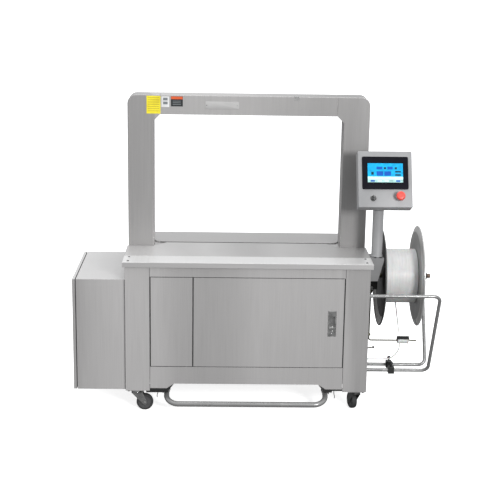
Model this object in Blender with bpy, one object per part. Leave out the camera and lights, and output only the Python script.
"""Arch strapping machine with a cabinet on casters, a swivelling control box and a side-mounted strap reel.

Metres, +Z up. The front faces -Y and the strap reel is at +X. Coordinates below are measured from the
middle of the arch at floor level, and the root empty then moves the whole machine so that the middle of
its bounding box, at floor level, is the origin.
"""

import math

import bmesh
import bpy
from mathutils import Matrix, Vector

# Driving dimensions.
GAP = 0.0003
SEAM = 0.0012
SHEET = 0.002
TABLE_Z = 0.692
TABLE_HALF = 0.545
PLATE = 0.005
STRIP_FRONT_Y = -0.368
STRIP_BACK_Y = -0.251
STRIP_LIP = 0.023
SLOT_FRONT_Y = 0.005
SLOT_BACK_Y = 0.017
TABLE_BACK_Y = 0.217
PLATE_CORNER = 0.037

ARCH_INNER_HALF = 0.425
ARCH_INNER_HEIGHT = 0.600
ARCH_COLUMN = 0.115
ARCH_BEAM = 0.085
ARCH_FRONT_Y = -0.060
ARCH_BACK_Y = 0.051
ARCH_WALL = 0.003
ARCH_CORNER = 0.038
ARCH_CHAMFER = 0.030
TRACK_WIDTH = 0.032
TRACK_DEPTH = 0.011

CABINET_HALF = 0.535
CABINET_FRONT_Y = -0.356
CABINET_BACK_Y = 0.205
CABINET_BOTTOM_Z = 0.100
POST_INNER = 0.428
POST_RETURN = 0.060
DOOR_LEFT_X = -0.238
DOOR_TOP_Z = 0.625
DOOR_BOTTOM_Z = 0.213
DOOR_GAP = 0.005
DOOR_DEPTH = 0.020
APRON_SIDE_Z = 0.112
APRON_MIDDLE_Z = 0.134
APRON_RAMP_OUTER = 0.353
APRON_RAMP_INNER = 0.320
TRAY_Z = 0.137
TRAY_RIM = 0.016
DECK_Z = 0.640

SIDE_BOX_LEFT_X = -0.765
SIDE_BOX_DOOR = 0.016
SIDE_BOX_SEAM = 0.003
SIDE_BOX_FRONT_Y = -0.345
SIDE_BOX_BACK_Y = 0.146
SIDE_BOX_BOTTOM_Z = 0.1025
SIDE_BOX_TOP_Z = 0.6085

WHEEL_RADIUS = 0.0375
WHEEL_WIDTH = 0.024
CASTER_TRAIL = 0.039
CASTER_X = 0.491
CASTER_FRONT_Y = -0.322
CASTER_BACK_Y = 0.160
CASTER_TOP_Z = 0.097

PEDAL_RADIUS = 0.012
PEDAL_HALF = 0.355
PEDAL_Y = -0.375
PEDAL_Z = 0.046
PEDAL_PIVOT_Y = -0.290
PEDAL_PIVOT_Z = 0.086

POST_X = 0.575
POST_Y = -0.213
POST_RADIUS = 0.024
POST_TOP_Z = 0.905
BOX_WIDTH = 0.236
BOX_HEIGHT = 0.250
BOX_DEPTH = 0.066
BOX_CORNER = 0.004
BOX_FACE = (0.592, -0.265, 1.050)
BOX_TILT = math.radians(24)
BOX_TURN = math.radians(1)

REEL_Y = -0.070
REEL_Z = 0.5635
REEL_RADIUS = 0.230
REEL_INNER_X = 0.622
REEL_OUTER_X = 0.772
COIL_RADIUS = 0.124
CORE_RADIUS = 0.100
AXLE_RADIUS = 0.010

GUARD_RADIUS = 0.008
GUARD_X = 0.850
GUARD_TOP_OFFSET = 0.260
GUARD_BOTTOM_OFFSET = 0.040
GUARD_TOP_Z = 0.540
GUARD_BOTTOM_Z = 0.118
GUARD_BEND = 0.030
CLAMP_LOW_X = 0.664
CLAMP_HIGH_X = 0.692
CLAMP_JAW = 0.028
CLAMP_JAW_TOP = 0.018

DANCER_X = 0.574
DANCER_PIVOT_Z = 0.490
DANCER_Z = 0.251
DANCER_END_X = 0.796
DANCER_RADIUS = 0.0035
ROLLER_LOW_X = 0.709
ROLLER_HIGH_X = 0.757
ROLLER_RADIUS = 0.014

LEVER_Y = -0.150
LEVER_PIVOT = (0.505, 0.232)
LEVER_END = (0.586, 0.243)
INLET_Z = 0.160
FEED_X = 0.440
STRAP_WIDTH = 0.006
STRAP_THICKNESS = 0.001

CENTRE_X = (SIDE_BOX_LEFT_X + GUARD_X + GUARD_RADIUS) / 2
CENTRE_Y = (PEDAL_Y - PEDAL_RADIUS + TABLE_BACK_Y) / 2

# Colour, roughness and metallic value of each finish.
FINISHES = {
    "brushed_steel": ((0.56, 0.55, 0.55), 0.38, 0.90),
    "bright_steel": ((0.78, 0.78, 0.78), 0.30, 0.90),
    "grey_paint": ((0.60, 0.60, 0.61), 0.50, 0.00),
    "black_paint": ((0.03, 0.03, 0.03), 0.50, 0.00),
    "black_plastic": ((0.02, 0.02, 0.02), 0.45, 0.00),
    "red_plastic": ((0.70, 0.05, 0.04), 0.35, 0.00),
    "white_strap": ((0.85, 0.85, 0.84), 0.45, 0.00),
    "rubber": ((0.06, 0.06, 0.06), 0.80, 0.00),
    "zinc": ((0.62, 0.62, 0.60), 0.40, 0.85),
    "dark_steel": ((0.16, 0.16, 0.12), 0.45, 0.70),
    "blue_paint": ((0.05, 0.12, 0.30), 0.50, 0.00),
}


def make_material(name, finish):
    """A material of the sub-part's own, in one of the finishes."""
    colour, roughness, metallic = FINISHES[finish]
    material = bpy.data.materials.new(name)
    material.use_nodes = True
    shader = material.node_tree.nodes["Principled BSDF"]
    shader.inputs["Base Color"].default_value = (*colour, 1)
    shader.inputs["Roughness"].default_value = roughness
    shader.inputs["Metallic"].default_value = metallic
    material.diffuse_color = (*colour, 1)
    return material


def make_object(name, work, finish=None, parent=None, smooth=False):
    """Turns a bmesh into an object. Without a finish it is a helper that the machine doesn't show."""
    bmesh.ops.recalc_face_normals(work, faces=work.faces)
    mesh = bpy.data.meshes.new(name)
    work.to_mesh(mesh)
    work.free()
    piece = bpy.data.objects.new(name, mesh)
    bpy.context.scene.collection.objects.link(piece)
    if smooth:
        mesh.shade_smooth()
        mesh.set_sharp_from_angle(angle=math.radians(35))
    if finish is None:
        piece.hide_render = True
        piece.display_type = "WIRE"
    else:
        mesh.materials.append(make_material(name, finish))
    piece.parent = parent or root
    return piece


def make_empty(name, location, rotation=(0, 0, 0), parent=None):
    """A parent on a joint's axis, given relative to its own parent."""
    empty = bpy.data.objects.new(name, None)
    empty.location = location
    empty.rotation_euler = rotation
    empty.parent = parent or root
    bpy.context.scene.collection.objects.link(empty)
    return empty


def boolean(piece, helper, operation):
    modifier = piece.modifiers.new(helper.name, "BOOLEAN")
    modifier.operation = operation
    modifier.object = helper
    modifier.solver = "EXACT"


def cut(piece, *helpers):
    for helper in helpers:
        boolean(piece, helper, "DIFFERENCE")


def join(piece, *helpers):
    for helper in helpers:
        boolean(piece, helper, "UNION")


def bevel(piece, width, segments=2):
    modifier = piece.modifiers.new("edges", "BEVEL")
    modifier.width = width
    modifier.segments = segments
    modifier.limit_method = "ANGLE"
    modifier.angle_limit = math.radians(50)


def block(name, low, high, finish=None, parent=None):
    """A rectangular solid between two corners."""
    work = bmesh.new()
    bmesh.ops.create_cube(work, size=1)
    size = Vector(high) - Vector(low)
    middle = (Vector(high) + Vector(low)) / 2
    bmesh.ops.transform(work, matrix=Matrix.LocRotScale(middle, None, size), verts=work.verts)
    return make_object(name, work, finish, parent)


def extrusion(name, outline, axis, start, end, finish=None, parent=None):
    """An outline pushed along an axis. Its pairs are (y, z) for X, (x, z) for Y and (x, y) for Z."""
    work = bmesh.new()
    where = "XYZ".index(axis)
    corners = []
    for first, second in outline:
        point = [first, second]
        point.insert(where, start)
        corners.append(work.verts.new(point))
    face = work.faces.new(corners)
    grown = bmesh.ops.extrude_face_region(work, geom=[face])["geom"]
    shift = Vector((0, 0, 0))
    shift[where] = end - start
    moved = [item for item in grown if isinstance(item, bmesh.types.BMVert)]
    bmesh.ops.translate(work, vec=shift, verts=moved)
    return make_object(name, work, finish, parent)


def turned(name, profile, axis, centre, steps, finish=None, parent=None):
    """A closed profile of (radius, position along the axis) turned once round the axis."""
    work = bmesh.new()
    along = {"X": Vector((1, 0, 0)), "Y": Vector((0, 1, 0)), "Z": Vector((0, 0, 1))}[axis]
    outward = Vector((0, 0, 1)) if axis != "Z" else Vector((1, 0, 0))
    corners = [work.verts.new(Vector(centre) + outward * r + along * a) for r, a in profile]
    edges = [work.edges.new((corners[i - 1], corners[i])) for i in range(len(corners))]
    bmesh.ops.spin(
        work, geom=corners + edges, cent=centre, axis=along, angle=math.tau, steps=steps, use_merge=True
    )
    bmesh.ops.remove_doubles(work, verts=work.verts, dist=1e-6)
    loose = [edge for edge in work.edges if not edge.link_faces]
    bmesh.ops.delete(work, geom=loose, context="EDGES")
    return make_object(name, work, finish, parent, smooth=True)


def bar(name, axis, centre, radius, start, end, steps=16, finish=None, parent=None):
    """A round bar along an axis, from start to end past its centre."""
    profile = [(0, start), (radius, start), (radius, end), (0, end)]
    return turned(name, profile, axis, centre, steps, finish, parent)


def rounded_path(points, radius, steps=5):
    """The corners of a bent tube's centre line, each replaced with an arc."""
    path = [Vector(points[0])]
    for before, corner, after in zip(points, points[1:], points[2:]):
        corner = Vector(corner)
        back = (Vector(before) - corner).normalized()
        ahead = (Vector(after) - corner).normalized()
        half = back.angle(ahead) / 2
        middle = corner + (back + ahead).normalized() * (radius / math.sin(half))
        first = corner + back * (radius / math.tan(half)) - middle
        last = corner + ahead * (radius / math.tan(half)) - middle
        turn = first.angle(last)
        for step in range(steps + 1):
            share = step / steps
            weight_first = math.sin((1 - share) * turn) / math.sin(turn)
            weight_last = math.sin(share * turn) / math.sin(turn)
            path.append(middle + first * weight_first + last * weight_last)
    path.append(Vector(points[-1]))
    return path


def sweep(name, path, section, finish=None, parent=None, up=(0, 0, 1), smooth=True):
    """A flat section of (side, up) offsets carried along a path, closed at both ends."""
    work = bmesh.new()
    rings = []
    side = None
    for index, point in enumerate(path):
        behind = path[max(index - 1, 0)]
        ahead = path[min(index + 1, len(path) - 1)]
        forward = (ahead - behind).normalized()
        if side is None:
            side = forward.cross(Vector(up)).normalized()
        side = (side - forward * side.dot(forward)).normalized()
        lift = side.cross(forward)
        rings.append([work.verts.new(point + side * a + lift * b) for a, b in section])
    count = len(section)
    for near, far in zip(rings, rings[1:]):
        for index in range(count):
            beside = (index + 1) % count
            work.faces.new((near[index], near[beside], far[beside], far[index]))
    work.faces.new(rings[0])
    work.faces.new(rings[-1])
    return make_object(name, work, finish, parent, smooth)


def circle(radius, sides):
    return [
        (radius * math.cos(math.tau * i / sides), radius * math.sin(math.tau * i / sides))
        for i in range(sides)
    ]


def arc(centre, radius, start, end, steps):
    """Points on an arc in degrees, both ends included."""
    angles = [math.radians(start + (end - start) * i / steps) for i in range(steps + 1)]
    return [(centre[0] + radius * math.cos(a), centre[1] + radius * math.sin(a)) for a in angles]


def mirrored(outline, side):
    return [(x * side, y) for x, y in outline]


# ---------------------------------------------------------------- cabinet


def make_base_tray():
    """The folded tray that carries the machinery, with a caster pad under each corner."""
    edge = CABINET_HALF - SHEET - GAP
    front = CABINET_FRONT_Y + SHEET + GAP
    back = CABINET_BACK_Y - SHEET - GAP
    tray = block("base_tray", (-edge, front, TRAY_Z), (edge, back, TRAY_Z + TRAY_RIM), "brushed_steel")
    pan = block(
        "base_tray_pan",
        (-edge + 0.003, front + 0.003, TRAY_Z + 0.003),
        (edge - 0.003, back - 0.003, TRAY_Z + TRAY_RIM + 0.01),
    )
    cut(tray, pan)
    for x in (-CASTER_X, CASTER_X):
        for y in (CASTER_FRONT_Y, CASTER_BACK_Y):
            low = (x - 0.038, y - 0.030, CASTER_TOP_Z)
            high = (x + 0.038, y + 0.030, TRAY_Z + 0.001)
            join(tray, block("caster_pad", low, high))


def make_deck_plate():
    """The plate below the table that the arch stands on, open in the middle for the strapping head."""
    edge = CABINET_HALF - SHEET - GAP
    front = CABINET_FRONT_Y + POST_RETURN + SHEET + 2 * GAP
    back = CABINET_BACK_Y - 2 * SHEET - 2 * GAP
    deck = block("deck_plate", (-edge, front, DECK_Z), (edge, back, DECK_Z + 0.006), "brushed_steel")
    cut(deck, block("deck_window", (-0.16, -0.12, DECK_Z - 0.01), (0.16, 0.12, DECK_Z + 0.02)))


def make_front_post(name, side):
    """A corner sheet, folded round the front and the side of the cabinet."""
    outer = CABINET_HALF
    front = CABINET_FRONT_Y
    outline = [
        (POST_INNER, front),
        (outer, front),
        (outer, front + POST_RETURN),
        (outer - SHEET, front + POST_RETURN),
        (outer - SHEET, front + SHEET),
        (POST_INNER, front + SHEET),
    ]
    top = TABLE_Z - PLATE - GAP
    extrusion(name, mirrored(outline, side), "Z", CABINET_BOTTOM_Z, top, "brushed_steel")


def make_front_rails():
    """The rail over the door and the apron under it, whose lower edge rises in the middle."""
    inner = POST_INNER - SEAM
    front = CABINET_FRONT_Y
    low = (-inner, front, DOOR_TOP_Z)
    high = (inner, front + SHEET, TABLE_Z - PLATE - GAP)
    block("front_top_rail", low, high, "brushed_steel")
    outline = [
        (-inner, DOOR_BOTTOM_Z),
        (-inner, APRON_SIDE_Z),
        (-APRON_RAMP_OUTER, APRON_SIDE_Z),
        (-APRON_RAMP_INNER, APRON_MIDDLE_Z),
        (APRON_RAMP_INNER, APRON_MIDDLE_Z),
        (APRON_RAMP_OUTER, APRON_SIDE_Z),
        (inner, APRON_SIDE_Z),
        (inner, DOOR_BOTTOM_Z),
    ]
    extrusion("front_apron", outline, "Y", front, front + SHEET, "brushed_steel")


def make_pan(name, low, high, open_side, finish, parent=None):
    """A folded sheet cover: a shallow box, open on one side given as an axis and a direction."""
    pan = block(name, low, high, finish, parent)
    inner_low = [value + SHEET for value in low]
    inner_high = [value - SHEET for value in high]
    where = "XYZ".index(open_side[1])
    if open_side[0] == "+":
        inner_high[where] = high[where] + 0.01
    else:
        inner_low[where] = low[where] - 0.01
    cut(pan, block(name + "_inside", inner_low, inner_high, None, parent))
    return pan


def make_front_panel():
    half_gap = DOOR_GAP / 2
    low = (-POST_INNER + DOOR_GAP, CABINET_FRONT_Y, DOOR_BOTTOM_Z + half_gap)
    high = (DOOR_LEFT_X - half_gap, CABINET_FRONT_Y + DOOR_DEPTH, DOOR_TOP_Z - half_gap)
    make_pan("front_panel", low, high, "+Y", "brushed_steel")


def make_front_door():
    """The door turns on its left edge. Its pull is let into it flush, with a lock in its lower end."""
    half_gap = DOOR_GAP / 2
    hinge = make_empty("front_door_hinge", (DOOR_LEFT_X + half_gap, CABINET_FRONT_Y, 0))
    width = POST_INNER - DOOR_GAP - DOOR_LEFT_X - half_gap
    low = (0, 0, DOOR_BOTTOM_Z + half_gap)
    high = (width, DOOR_DEPTH, DOOR_TOP_Z - half_gap)
    door = make_pan("front_door", low, high, "+Y", "brushed_steel", hinge)
    x = 0.373 - DOOR_LEFT_X - half_gap
    pull_low = Vector((x - 0.018, -0.0015, 0.360))
    pull_high = Vector((x + 0.018, 0.011, 0.476))
    margin = Vector((GAP, 0.01, GAP))
    cut(door, block("pull_window", pull_low - margin, pull_high + margin, None, hinge))
    pull = block("door_handle", pull_low, pull_high, "zinc", hinge)
    finger_low = (x - 0.012, -0.005, 0.400)
    finger_high = (x + 0.012, 0.0095, 0.452)
    cut(pull, block("finger_recess", finger_low, finger_high, None, hinge))
    lock_centre = (x, 0, 0.379)
    cut(pull, bar("lock_bore", "Y", lock_centre, 0.0083, -0.01, 0.02, 20, None, hinge))
    barrel = bar("door_lock", "Y", lock_centre, 0.008, -0.004, 0.016, 20, "bright_steel", hinge)
    cut(barrel, block("key_slot", (x - 0.001, -0.01, 0.375), (x + 0.001, 0.002, 0.383), None, hinge))


def make_side_panels():
    """Both side covers. The right one has the strap inlet and the slot of the feed lever."""
    front = CABINET_FRONT_Y + POST_RETURN + GAP
    back = CABINET_BACK_Y - SHEET - GAP
    outer = CABINET_HALF
    outline = [
        (outer, front),
        (outer, back),
        (outer - 0.015, back),
        (outer - 0.015, back - SHEET),
        (outer - SHEET, back - SHEET),
        (outer - SHEET, front + SHEET),
        (outer - 0.015, front + SHEET),
        (outer - 0.015, front),
    ]
    top = TABLE_Z - PLATE - GAP
    base = TRAY_Z + TRAY_RIM + GAP
    extrusion("side_panel_left", mirrored(outline, -1), "Z", base, top, "brushed_steel")
    panel = extrusion("side_panel_right", outline, "Z", base, top, "brushed_steel")
    cut(panel, bar("strap_inlet", "X", (outer, REEL_Y, INLET_Z), 0.0055, -0.02, 0.02, 16))
    lever_z = LEVER_PIVOT[1]
    low = (outer - 0.02, LEVER_Y - 0.007, lever_z - 0.020)
    high = (outer + 0.02, LEVER_Y + 0.007, lever_z + 0.030)
    cut(panel, block("lever_slot", low, high))
    lever_x = LEVER_PIVOT[0]
    low = (lever_x - 0.008, LEVER_Y + 0.0090, lever_z - 0.012)
    high = (outer - SHEET / 2, LEVER_Y + 0.0115, lever_z + 0.012)
    join(panel, block("lever_tab", low, high))
    pin_centre = (lever_x, LEVER_Y, lever_z)
    join(panel, bar("lever_pin", "Y", pin_centre, 0.003, -0.008, 0.010, 12))


def make_rear_panel():
    """The rear cover with two groups of ventilation slots."""
    top = TABLE_Z - PLATE - GAP
    low = (-CABINET_HALF, CABINET_BACK_Y - SHEET, CABINET_BOTTOM_Z)
    high = (CABINET_HALF, CABINET_BACK_Y, top)
    panel = block("rear_panel", low, high, "brushed_steel")
    for side in (-1, 1):
        for row in range(5):
            x = side * 0.33
            z = 0.30 + row * 0.018
            slot_low = (x - 0.055, CABINET_BACK_Y - 0.01, z)
            slot_high = (x + 0.055, CABINET_BACK_Y + 0.01, z + 0.006)
            cut(panel, block("vent_slot", slot_low, slot_high))


# ---------------------------------------------------------------- table and arch


def make_table():
    """Two hinged plates on either side of the strap slot, and the bright edge strip at the front."""
    corner = ARCH_INNER_HALF + ARCH_COLUMN
    hinge_y = STRIP_BACK_Y + GAP
    front_hinge = make_empty("table_plate_front_hinge", (0, hinge_y, TABLE_Z))
    step_y = ARCH_FRONT_Y - 0.002 - hinge_y
    slot_y = SLOT_FRONT_Y - hinge_y
    right = [
        (TABLE_HALF, 0),
        (TABLE_HALF, step_y),
        (ARCH_INNER_HALF - 0.004, step_y),
        (ARCH_INNER_HALF - 0.017, step_y + 0.014),
        (0.370, slot_y),
    ]
    left = [(-x, y) for x, y in reversed(right)]
    extrusion("table_plate_front", right + left, "Z", -PLATE, 0, "brushed_steel", front_hinge)

    back_hinge = make_empty("table_plate_rear_hinge", (0, TABLE_BACK_Y, TABLE_Z))
    behind_y = ARCH_BACK_Y + 0.003 - TABLE_BACK_Y
    middle = (ARCH_INNER_HALF - PLATE_CORNER, SLOT_BACK_Y + PLATE_CORNER - TABLE_BACK_Y)
    right = arc(middle, PLATE_CORNER, -90, 0, 5)
    right += [(corner + 0.005, behind_y), (corner + 0.005, 0)]
    left = [(-x, y) for x, y in reversed(right)]
    extrusion("table_plate_rear", right + left, "Z", -PLATE, 0, "brushed_steel", back_hinge)

    thick = 0.004
    outline = [
        (STRIP_FRONT_Y, TABLE_Z),
        (STRIP_FRONT_Y, TABLE_Z - STRIP_LIP),
        (STRIP_FRONT_Y + thick, TABLE_Z - STRIP_LIP),
        (STRIP_FRONT_Y + thick, TABLE_Z - thick),
        (STRIP_BACK_Y, TABLE_Z - thick),
        (STRIP_BACK_Y, TABLE_Z),
    ]
    extrusion("table_edge_strip", outline, "X", -TABLE_HALF, TABLE_HALF, "bright_steel")


def corner_outline(inset, foot_z, seam_x):
    """Half of the arch from the side: the right column with its rounded corner, up to the beam's seam."""
    outer = ARCH_INNER_HALF + ARCH_COLUMN - inset
    top = TABLE_Z + ARCH_INNER_HEIGHT + ARCH_BEAM - inset
    inner = ARCH_INNER_HALF + inset
    under = TABLE_Z + ARCH_INNER_HEIGHT + inset
    radius = ARCH_CORNER - inset
    chamfer = ARCH_CHAMFER - inset * (2 - math.sqrt(2))
    rounding = arc((outer - radius, top - radius), radius, 0, 90, 7)
    shoulder_z = TABLE_Z - 0.004 + inset
    foot_x = outer - 0.010
    start = [(inner, foot_z), (foot_x, foot_z), (foot_x, shoulder_z), (outer, shoulder_z)]
    end = [(seam_x, top), (seam_x, under), (inner - chamfer, under), (inner, under - chamfer)]
    return start + rounding + end


def track_outline(near, far, foot_z):
    """A band that follows the arch's inner edge, between two distances into the arch."""

    def line(inset):
        inner = ARCH_INNER_HALF + inset
        under = TABLE_Z + ARCH_INNER_HEIGHT + inset
        chamfer = ARCH_CHAMFER - inset * (2 - math.sqrt(2))
        right = [(inner, foot_z), (inner, under - chamfer), (inner - chamfer, under)]
        return right + [(-x, z) for x, z in reversed(right)]

    return line(near) + list(reversed(line(far)))


def make_arch():
    """Two hollow columns and a hollow beam, with the strap track let into their inner edge."""
    middle_y = (ARCH_FRONT_Y + ARCH_BACK_Y) / 2
    foot_z = DECK_Z + 0.006 + GAP
    seam_x = ARCH_INNER_HALF - ARCH_CHAMFER
    half_track = TRACK_WIDTH / 2
    slot = extrusion(
        "track_slot",
        track_outline(-0.004, TRACK_DEPTH + 0.004, TABLE_Z - 0.030),
        "Y",
        middle_y - half_track - 0.001,
        middle_y + half_track + 0.001,
    )
    for name, side in (("arch_column_left", -1), ("arch_column_right", 1)):
        outline = mirrored(corner_outline(0, foot_z, seam_x), side)
        column = extrusion(name, outline, "Y", ARCH_FRONT_Y, ARCH_BACK_Y, "brushed_steel")
        outline = mirrored(corner_outline(ARCH_WALL, foot_z - 0.01, seam_x - 0.01), side)
        front = ARCH_FRONT_Y + ARCH_WALL
        back = ARCH_BACK_Y - ARCH_WALL
        cut(column, extrusion(name + "_inside", outline, "Y", front, back), slot)
    under = TABLE_Z + ARCH_INNER_HEIGHT
    edge = seam_x - GAP
    low = Vector((-edge, ARCH_FRONT_Y, under))
    high = Vector((edge, ARCH_BACK_Y, under + ARCH_BEAM))
    beam = block("arch_beam", low, high, "brushed_steel")
    wall = Vector((-0.01, ARCH_WALL, ARCH_WALL))
    cut(beam, block("arch_beam_inside", low + wall, high - wall), slot)
    outline = track_outline(0.0015, TRACK_DEPTH + 0.0015, TABLE_Z - 0.025)
    low_y = middle_y - half_track
    extrusion("strap_track", outline, "Y", low_y, low_y + TRACK_WIDTH, "bright_steel")


# ---------------------------------------------------------------- side box


def make_side_box():
    """The strap pool box on the left, whose outer side is a door hinged at the back."""
    seam_x = SIDE_BOX_LEFT_X + SIDE_BOX_DOOR
    low = (seam_x, SIDE_BOX_FRONT_Y, SIDE_BOX_BOTTOM_Z)
    high = (-CABINET_HALF - GAP, SIDE_BOX_BACK_Y, SIDE_BOX_TOP_Z)
    make_pan("side_box_shell", low, high, "-X", "brushed_steel")
    hinge = make_empty("side_box_door_hinge", (SIDE_BOX_LEFT_X, SIDE_BOX_BACK_Y, 0))
    low = (0, SIDE_BOX_FRONT_Y - SIDE_BOX_BACK_Y, SIDE_BOX_BOTTOM_Z)
    high = (SIDE_BOX_DOOR - SIDE_BOX_SEAM, 0, SIDE_BOX_TOP_Z)
    make_pan("side_box_door", low, high, "+X", "brushed_steel", hinge)


# ---------------------------------------------------------------- casters and pedal


def make_caster(name, x, y, heading):
    """A swivel fork with its wheel trailing in the heading's direction."""
    swivel = make_empty(name + "_swivel", (x, y, 0), (0, 0, heading))
    top = CASTER_TOP_Z - GAP
    race = [(0, top), (0.022, top), (0.024, top - 0.004), (0.020, top - 0.012), (0, top - 0.012)]
    fork = turned(name + "_fork", race, "Z", (0, 0, 0), 20, "zinc", swivel)
    crown_low = (-0.020, -0.0185, top - 0.0145)
    crown_high = (0.030, 0.0185, top - 0.0115)
    join(fork, block(name + "_crown", crown_low, crown_high, None, swivel))
    cheek = [(-0.020, top - 0.012), (0.030, top - 0.012)]
    cheek += arc((CASTER_TRAIL, WHEEL_RADIUS), 0.010, 40, -140, 6)
    for side in (-1, 1):
        inner = side * 0.016
        outer = side * 0.0185
        plate = extrusion(name + "_cheek", cheek, "Y", inner, outer, None, swivel)
        join(fork, plate)
    axle_centre = (CASTER_TRAIL, 0, WHEEL_RADIUS)
    join(fork, bar(name + "_axle", "Y", axle_centre, 0.004, -0.0205, 0.0205, 12, None, swivel))
    half = WHEEL_WIDTH / 2
    radius = WHEEL_RADIUS
    profile = [
        (0.0045, -half - 0.002),
        (0.012, -half - 0.002),
        (0.013, -half + 0.002),
        (0.026, -half + 0.002),
        (0.028, -half),
        (radius - 0.003, -half),
        (radius, -half + 0.004),
    ]
    profile += [(r, -a) for r, a in reversed(profile)]
    spin = make_empty(name + "_wheel_axis", axle_centre, (0, 0, 0), swivel)
    turned(name + "_wheel", profile, "Y", (0, 0, 0), 28, "rubber", spin)


def make_pedal():
    """The bent foot bar under the front edge, turning on a pin in a black bracket at each end."""
    pivot = make_empty("pedal_pivot", (0, PEDAL_PIVOT_Y, PEDAL_PIVOT_Z))
    drop = PEDAL_Z - PEDAL_PIVOT_Z
    reach = PEDAL_Y - PEDAL_PIVOT_Y
    corners = [
        (-PEDAL_HALF, 0, 0),
        (-PEDAL_HALF, reach, drop),
        (PEDAL_HALF, reach, drop),
        (PEDAL_HALF, 0, 0),
    ]
    path = rounded_path(corners, 0.055, 6)
    pedal = sweep("pedal_bar", path, circle(PEDAL_RADIUS, 12), "grey_paint", pivot)
    for name, side in (("pedal_bracket_left", -1), ("pedal_bracket_right", 1)):
        centre = (side * PEDAL_HALF, 0, 0)
        join(pedal, bar(name + "_sleeve", "X", centre, 0.0140, -0.0132, 0.0132, 16, None, pivot))
        cut(pedal, bar(name + "_bore", "X", centre, 0.0055, -0.03, 0.03, 14, None, pivot))
        ear_near = PEDAL_HALF + 0.0137
        ear_far = ear_near + 0.005
        low = (min(side * ear_near, side * ear_far), PEDAL_PIVOT_Y - 0.018, PEDAL_PIVOT_Z - 0.014)
        high = (max(side * ear_near, side * ear_far), PEDAL_PIVOT_Y + 0.018, TRAY_Z - GAP)
        bracket = block(name, low, high, "black_paint")
        inner = PEDAL_HALF - 0.0132
        low = (min(side * inner, side * 0.432), PEDAL_PIVOT_Y - 0.055, 0.1005)
        high = (max(side * inner, side * 0.432), PEDAL_PIVOT_Y + 0.018, 0.1055)
        join(bracket, block(name + "_bar", low, high))
        pin_centre = (side * (PEDAL_HALF + 0.002), PEDAL_PIVOT_Y, PEDAL_PIVOT_Z)
        join(bracket, bar(name + "_pin", "X", pin_centre, 0.005, -0.018, 0.018, 12))


# ---------------------------------------------------------------- control box


def make_control_post():
    """A folded bracket on the cabinet's right side, and the round post that stands on it."""
    left = CABINET_HALF + GAP
    outline = [(left, 0.586), (0.580, 0.586), (0.604, 0.680), (0.604, TABLE_Z), (left, TABLE_Z)]
    front = POST_Y - 0.042
    back = POST_Y + 0.042
    bracket = extrusion("post_bracket", outline, "Y", front, back, "grey_paint")
    low = (left - 0.01, front + 0.004, 0.580)
    high = (0.596, back - 0.004, TABLE_Z - 0.006)
    cut(bracket, block("post_bracket_inside", low, high))
    edge_low = (left - 0.001, front - 0.001, TABLE_Z - PLATE - 0.001)
    edge_high = (TABLE_HALF + GAP, back + 0.001, TABLE_Z + 0.001)
    cut(bracket, block("table_notch", edge_low, edge_high))
    base = TABLE_Z + GAP
    profile = [
        (0.018, base),
        (0.028, base),
        (0.028, base + 0.006),
        (POST_RADIUS, base + 0.008),
        (POST_RADIUS, POST_TOP_Z),
        (0.018, POST_TOP_Z),
    ]
    turned("control_post", profile, "Z", (POST_X, POST_Y, 0), 28, "grey_paint")


def make_control_box():
    """The tilted box turns on the post. Its frame is the face: x to the right, y into it, z up it."""
    swivel = make_empty("control_swivel", (POST_X, POST_Y, 0))
    place = Vector(BOX_FACE) - Vector((POST_X, POST_Y, 0))
    face = make_empty("control_face", place, (-BOX_TILT, 0, BOX_TURN), swivel)
    half_width = BOX_WIDTH / 2
    half_height = BOX_HEIGHT / 2
    corner = BOX_CORNER
    outline = arc((half_width - corner, half_height - corner), corner, 0, 90, 4)
    outline += arc((-half_width + corner, half_height - corner), corner, 90, 180, 4)
    outline += arc((-half_width + corner, -half_height + corner), corner, 180, 270, 4)
    outline += arc((half_width - corner, -half_height + corner), corner, 270, 360, 4)
    box = extrusion("control_box", outline, "Y", 0, BOX_DEPTH, "grey_paint", face)
    neck = bar("control_neck", "Z", (0, 0, 0), 0.027, POST_TOP_Z + GAP, 0.985, 24, None, swivel)
    join(box, neck)
    bezel_low = (-0.1005, -0.007, 0.027 - 0.0725)
    bezel_high = (0.1005, -GAP, 0.027 + 0.0725)
    bezel = block("hmi_bezel", bezel_low, bezel_high, "black_plastic", face)
    bevel(bezel, 0.002)
    switch_centre = (-0.053, 0, -0.085)
    switch = bar("mode_switch", "Y", switch_centre, 0.011, -0.008, -GAP, 20, "zinc", face)
    low = (-0.053 - 0.003, -0.020, -0.085 - 0.011)
    high = (-0.053 + 0.003, -0.007, -0.085 + 0.011)
    join(switch, block("mode_switch_grip", low, high, None, face))
    wall = 0.003
    inside_low = (wall - half_width, wall, wall - half_height)
    inside_high = (half_width - wall, BOX_DEPTH - wall, half_height - wall)
    cut(box, block("control_box_inside", inside_low, inside_high, None, face))
    cut(box, bar("cable_way", "Z", (0, 0, 0), 0.016, POST_TOP_Z - 0.01, 1.000, 24, None, swivel))
    stop_centre = (0.062, 0, -0.079)
    cut(box, bar("estop_bore", "Y", stop_centre, 0.009, -0.01, 0.012, 20, None, face))
    collar = [(0.0085, -0.014), (0.015, -0.014), (0.017, -0.004), (0.017, -GAP), (0.0085, -GAP)]
    turned("estop_collar", collar, "Y", stop_centre, 24, "grey_paint", face)
    head = [(0, -0.038), (0.010, -0.0375), (0.0175, -0.035), (0.020, -0.031), (0.020, -0.025)]
    head += [(0.014, -0.0215), (0.008, -0.0215), (0.008, -0.001), (0, -0.001)]
    turned("estop_button", head, "Y", stop_centre, 24, "red_plastic", face)


# ---------------------------------------------------------------- reel


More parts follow.
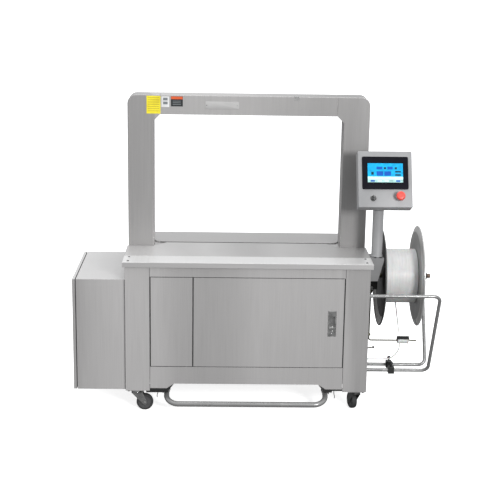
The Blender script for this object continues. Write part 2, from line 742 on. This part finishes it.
def make_reel():
    """A drum on a turning axle, held between two dished flanges by a screwed end knob."""
    centre = (0, REEL_Y, REEL_Z)
    web_x = (REEL_INNER_X + REEL_OUTER_X) / 2
    wall = CORE_RADIUS - 0.003
    spool = [
        (0, 0.5405),
        (AXLE_RADIUS, 0.5405),
        (AXLE_RADIUS, web_x - 0.004),
        (wall, web_x - 0.004),
        (wall, REEL_INNER_X + GAP),
        (CORE_RADIUS, REEL_INNER_X + GAP),
        (CORE_RADIUS, REEL_OUTER_X - GAP),
        (wall, REEL_OUTER_X - GAP),
        (wall, web_x + 0.004),
        (AXLE_RADIUS, web_x + 0.004),
        (AXLE_RADIUS, REEL_OUTER_X + 0.0015),
        (0, REEL_OUTER_X + 0.0015),
    ]
    turned("reel_axle", spool, "X", centre, 40, "dark_steel")
    hole = AXLE_RADIUS + 0.0005
    for name, x, outward in (
        ("reel_flange_inner", REEL_INNER_X, -1),
        ("reel_flange_outer", REEL_OUTER_X, 1),
    ):
        rim = REEL_RADIUS
        profile = [(hole, 0), (0.190, 0), (0.215, 0.0035), (rim - 0.005, 0.009), (rim - 0.001, 0.008)]
        profile += [(rim, 0.012), (rim - 0.004, 0.015), (0.213, 0.0065), (0.189, 0.002), (hole, 0.002)]
        placed = [(r, x + outward * a) for r, a in profile]
        turned(name, placed, "X", centre, 40, "grey_paint")
    coil_low = REEL_INNER_X + GAP * 2
    coil_high = REEL_OUTER_X - GAP * 2
    inside = CORE_RADIUS + GAP
    coil = [
        (inside, coil_low),
        (COIL_RADIUS - 0.001, coil_low),
        (COIL_RADIUS, coil_low + 0.001),
        (COIL_RADIUS, coil_high - 0.001),
        (COIL_RADIUS - 0.001, coil_high),
        (inside, coil_high),
    ]
    turned("strap_coil", coil, "X", centre, 40, "white_strap")
    knob_x = REEL_OUTER_X + 0.0025
    knob = [(0, knob_x), (0.024, knob_x), (0.024, knob_x + 0.006), (0.013, knob_x + 0.010)]
    knob += [(0.013, 0.820), (0.017, 0.820), (0.017, 0.828), (0.009, 0.829), (0.010, 0.832)]
    knob += [(0.010, 0.843), (0.008, 0.8455), (0, 0.8455)]
    turned("reel_knob", knob, "X", centre, 20, "dark_steel")


def make_reel_bracket():
    """The black bearing bracket on the cabinet's side. It holds the axle and the dancer arm's pin."""
    left = CABINET_HALF + GAP
    low = (left, REEL_Y - 0.040, 0.470)
    high = (left + 0.005, REEL_Y + 0.040, 0.612)
    bracket = block("reel_bracket", low, high, "black_paint")
    centre = (0, REEL_Y, REEL_Z)
    yoke_high = (left + 0.031, REEL_Y + 0.032, REEL_Z)
    join(bracket, block("bearing_yoke", (left, REEL_Y - 0.032, 0.503), yoke_high))
    join(bracket, bar("bearing_housing", "X", centre, 0.028, left + 0.004, 0.600, 24))
    join(bracket, bar("dancer_pin", "X", (0, REEL_Y, DANCER_PIVOT_Z), 0.005, left + 0.004, 0.584, 14))
    cut(bracket, bar("bearing_bore", "X", centre, AXLE_RADIUS + 0.0004, left - 0.01, 0.61, 24))


def make_guard(name, side):
    """A bent guard tube: wide at the top to clear the reel, narrow at the bottom."""
    start = CABINET_HALF + GAP
    top_y = REEL_Y + side * GUARD_TOP_OFFSET
    bottom_y = REEL_Y + side * GUARD_BOTTOM_OFFSET
    corners = [
        (start, top_y, GUARD_TOP_Z),
        (GUARD_X, top_y, GUARD_TOP_Z),
        (GUARD_X, bottom_y, GUARD_BOTTOM_Z),
        (start, bottom_y, GUARD_BOTTOM_Z),
    ]
    sweep(name, rounded_path(corners, GUARD_BEND), circle(GUARD_RADIUS, 12), "grey_paint")


def make_tube_clamp():
    """The clamp across both lower tubes that carries the strap's guide, and its two ball knobs."""
    z = GUARD_BOTTOM_Z
    inner = GUARD_BOTTOM_OFFSET - CLAMP_JAW / 2 + 0.001
    low = (CLAMP_LOW_X + 0.006, REEL_Y - inner, z + 0.004)
    high = (CLAMP_HIGH_X - 0.006, REEL_Y + inner, z + 0.014)
    clamp = block("tube_clamp", low, high, "black_paint")
    jaw_top = z + CLAMP_JAW_TOP
    for side in (-1, 1):
        y = REEL_Y + side * GUARD_BOTTOM_OFFSET
        low = (CLAMP_LOW_X, y - CLAMP_JAW / 2, z - CLAMP_JAW / 2)
        high = (CLAMP_HIGH_X, y + CLAMP_JAW / 2, jaw_top)
        join(clamp, block("clamp_jaw", low, high))
    low = (CLAMP_LOW_X + 0.006, REEL_Y - 0.010, z + 0.012)
    high = (CLAMP_HIGH_X - 0.006, REEL_Y + 0.010, INLET_Z - 0.012)
    join(clamp, block("guide_post", low, high))
    for side in (-1, 1):
        centre = (0, REEL_Y + side * GUARD_BOTTOM_OFFSET, z)
        radius = GUARD_RADIUS + 0.0004
        cut(clamp, bar("jaw_bore", "X", centre, radius, CLAMP_LOW_X - 0.01, CLAMP_HIGH_X + 0.01, 16))
    foot = jaw_top + GAP
    ball = [(0, foot), (0.004, foot), (0.004, foot + 0.008)]
    ball += arc((0, foot + 0.015), 0.009, -50, 90, 6)[:-1] + [(0, foot + 0.024)]
    for name, side in (("clamp_knob_front", -1), ("clamp_knob_rear", 1)):
        centre = ((CLAMP_LOW_X + CLAMP_HIGH_X) / 2, REEL_Y + side * GUARD_BOTTOM_OFFSET, 0)
        turned(name, ball, "Z", centre, 14, "black_plastic")


def make_dancer():
    """The bent rod that the strap lifts, with a loose roller on its level part."""
    pivot = make_empty("dancer_pivot", (DANCER_X, REEL_Y, DANCER_PIVOT_Z))
    drop = DANCER_Z - DANCER_PIVOT_Z
    end = DANCER_END_X - DANCER_X
    path = rounded_path([(0, 0, -0.006), (0, 0, drop), (end, 0, drop)], 0.010, 4)
    arm = sweep("dancer_arm", path, circle(DANCER_RADIUS, 10), "dark_steel", pivot, up=(0, 1, 0))
    eye = [(0.0054, -0.006), (0.011, -0.006), (0.011, 0.006), (0.0054, 0.006)]
    join(arm, turned("dancer_eye", eye, "X", (0, 0, 0), 18, None, pivot))
    cut(arm, bar("dancer_bore", "X", (0, 0, 0), 0.0054, -0.02, 0.02, 18, None, pivot))
    low = ROLLER_LOW_X - DANCER_X
    high = ROLLER_HIGH_X - DANCER_X
    spin = make_empty("dancer_roller_axis", (0, 0, drop), (0, 0, 0), pivot)
    bore = DANCER_RADIUS + 0.0004
    profile = [
        (bore, low),
        (ROLLER_RADIUS + 0.003, low),
        (ROLLER_RADIUS + 0.003, low + 0.002),
        (ROLLER_RADIUS, low + 0.004),
        (ROLLER_RADIUS, high - 0.004),
        (ROLLER_RADIUS + 0.003, high - 0.002),
        (ROLLER_RADIUS + 0.003, high),
        (bore, high),
    ]
    turned("dancer_roller", profile, "X", (0, 0, 0), 20, "white_strap", spin)


def make_feed_lever():
    """A short lever that comes out of its slot in the right side panel."""
    pivot = make_empty("feed_lever_pivot", (LEVER_PIVOT[0], LEVER_Y, LEVER_PIVOT[1]))
    end = Vector((LEVER_END[0] - LEVER_PIVOT[0], 0, LEVER_END[1] - LEVER_PIVOT[1]))
    path = [end * 0.05, end]
    lever = sweep("feed_lever", path, circle(0.003, 10), "dark_steel", pivot)
    join(lever, bar("lever_hub", "Y", (0, 0, 0), 0.009, -0.006, 0.006, 16, None, pivot))
    cut(lever, bar("lever_bore", "Y", (0, 0, 0), 0.0035, -0.01, 0.01, 12, None, pivot))
    ball = [(0, -0.0055)] + arc((0, 0), 0.0055, -60, 60, 4) + [(0, 0.0055)]
    join(lever, turned("lever_ball", ball, "X", end, 12, None, pivot))


def make_strap():
    """The strap from the back of the coil down round the roller, over the guide and into the cabinet."""
    slope = math.asin((COIL_RADIUS - ROLLER_RADIUS) / (REEL_Z - DANCER_Z))
    on_coil = COIL_RADIUS + STRAP_THICKNESS
    on_roller = ROLLER_RADIUS + STRAP_THICKNESS * 1.5
    coil_x = 0.690
    roller_x = 0.721
    path = []
    for step in range(5):
        angle = slope * (0.4 + 0.15 * step)
        y = REEL_Y + on_coil * math.cos(angle)
        path.append(Vector((coil_x, y, REEL_Z - on_coil * math.sin(angle))))
    for step in range(5):
        angle = slope + math.radians(8 * step)
        y = REEL_Y + on_roller * math.cos(angle)
        path.append(Vector((roller_x, y, DANCER_Z - on_roller * math.sin(angle))))
    path.append(Vector((0.719, REEL_Y - 0.001, 0.220)))
    path.append(Vector((0.713, REEL_Y - 0.002, 0.200)))
    path.append(Vector((0.702, REEL_Y - 0.001, 0.182)))
    path.append(Vector((0.688, REEL_Y, 0.168)))
    path.append(Vector((0.668, REEL_Y, INLET_Z)))
    path.append(Vector((0.600, REEL_Y, INLET_Z - 0.001)))
    path.append(Vector((FEED_X, REEL_Y, INLET_Z)))
    half_width = STRAP_WIDTH / 2
    half_thickness = STRAP_THICKNESS / 2
    section = [
        (-half_width, -half_thickness),
        (half_width, -half_thickness),
        (half_width, half_thickness),
        (-half_width, half_thickness),
    ]
    sweep("strap_feed", path, section, "white_strap", up=(0, 1, 0), smooth=False)


# ---------------------------------------------------------------- machinery inside


def make_machinery():
    """The strapping head under the slot, its cam shaft and motor, and the pair of strap feed rollers."""
    head = block("strapping_head", (-0.120, -0.070, 0.455), (0.120, 0.090, 0.463), "grey_paint")
    for x in (-0.120, 0.108):
        cheek = block("head_cheek", (x, -0.070, 0.460), (x + 0.012, 0.090, 0.655))
        join(head, cheek)
    join(head, block("head_anvil", (-0.115, -0.030, 0.640), (0.115, 0.050, 0.680)))
    join(head, block("head_foot", (-0.060, -0.060, TRAY_Z + 0.0033), (0.060, 0.080, 0.458)))
    axis = (0, 0.010, 0.545)
    cut(head, bar("cam_bore", "X", axis, 0.0155, -0.15, 0.15, 20))
    shaft = bar("cam_shaft", "X", axis, 0.015, -0.150, 0.150, 20, "bright_steel")
    for index in range(4):
        angle = math.radians(90 * index)
        x = -0.075 + 0.045 * index
        lobe = (0, axis[1] + 0.012 * math.cos(angle), axis[2] + 0.012 * math.sin(angle))
        join(shaft, bar("cam_lobe", "X", lobe, 0.036, x, x + 0.014, 20))
    base = (-0.290, 0.010, 0.545)
    motor = bar("drive_motor", "X", base, 0.060, -0.100, 0.100, 24, "blue_paint")
    gearbox_low = (-0.215, -0.060, 0.480)
    gearbox_high = (-0.1525, 0.080, 0.610)
    join(motor, block("gearbox", gearbox_low, gearbox_high))
    join(motor, block("motor_foot", (-0.340, -0.040, TRAY_Z + 0.0033), (-0.240, 0.060, 0.500)))
    nip = 0.0010
    for name, side, radius in (("feed_roller_drive", 1, 0.030), ("feed_roller_pinch", -1, 0.018)):
        centre = (FEED_X, REEL_Y + side * (radius + nip), 0.172)
        profile = [(0, -0.030), (0.006, -0.030), (0.006, -0.024), (radius, -0.024)]
        profile += [(radius, 0.008), (0.006, 0.008), (0.006, 0.030), (0, 0.030)]
        turned(name, profile, "Z", centre, 22, "rubber")


def make_casters():
    places = {
        "caster_front_left": (-CASTER_X, CASTER_FRONT_Y, 0),
        "caster_front_right": (CASTER_X, CASTER_FRONT_Y, 105),
        "caster_rear_left": (-CASTER_X, CASTER_BACK_Y, -60),
        "caster_rear_right": (CASTER_X, CASTER_BACK_Y, -120),
    }
    for name, (x, y, degrees) in places.items():
        make_caster(name, x, y, math.radians(degrees))


for old in list(bpy.data.objects):
    bpy.data.objects.remove(old, do_unlink=True)
root = bpy.data.objects.new("machine", None)
root.location = (-CENTRE_X, -CENTRE_Y, 0)
bpy.context.scene.collection.objects.link(root)

make_base_tray()
make_deck_plate()
make_front_post("front_post_left", -1)
make_front_post("front_post_right", 1)
make_front_rails()
make_front_panel()
make_front_door()
make_side_panels()
make_rear_panel()
make_table()
make_arch()
make_side_box()
make_casters()
make_pedal()
make_control_post()
make_control_box()
make_reel()
make_reel_bracket()
make_guard("guard_tube_front", -1)
make_guard("guard_tube_rear", 1)
make_tube_clamp()
make_dancer()
make_feed_lever()
make_strap()
make_machinery()
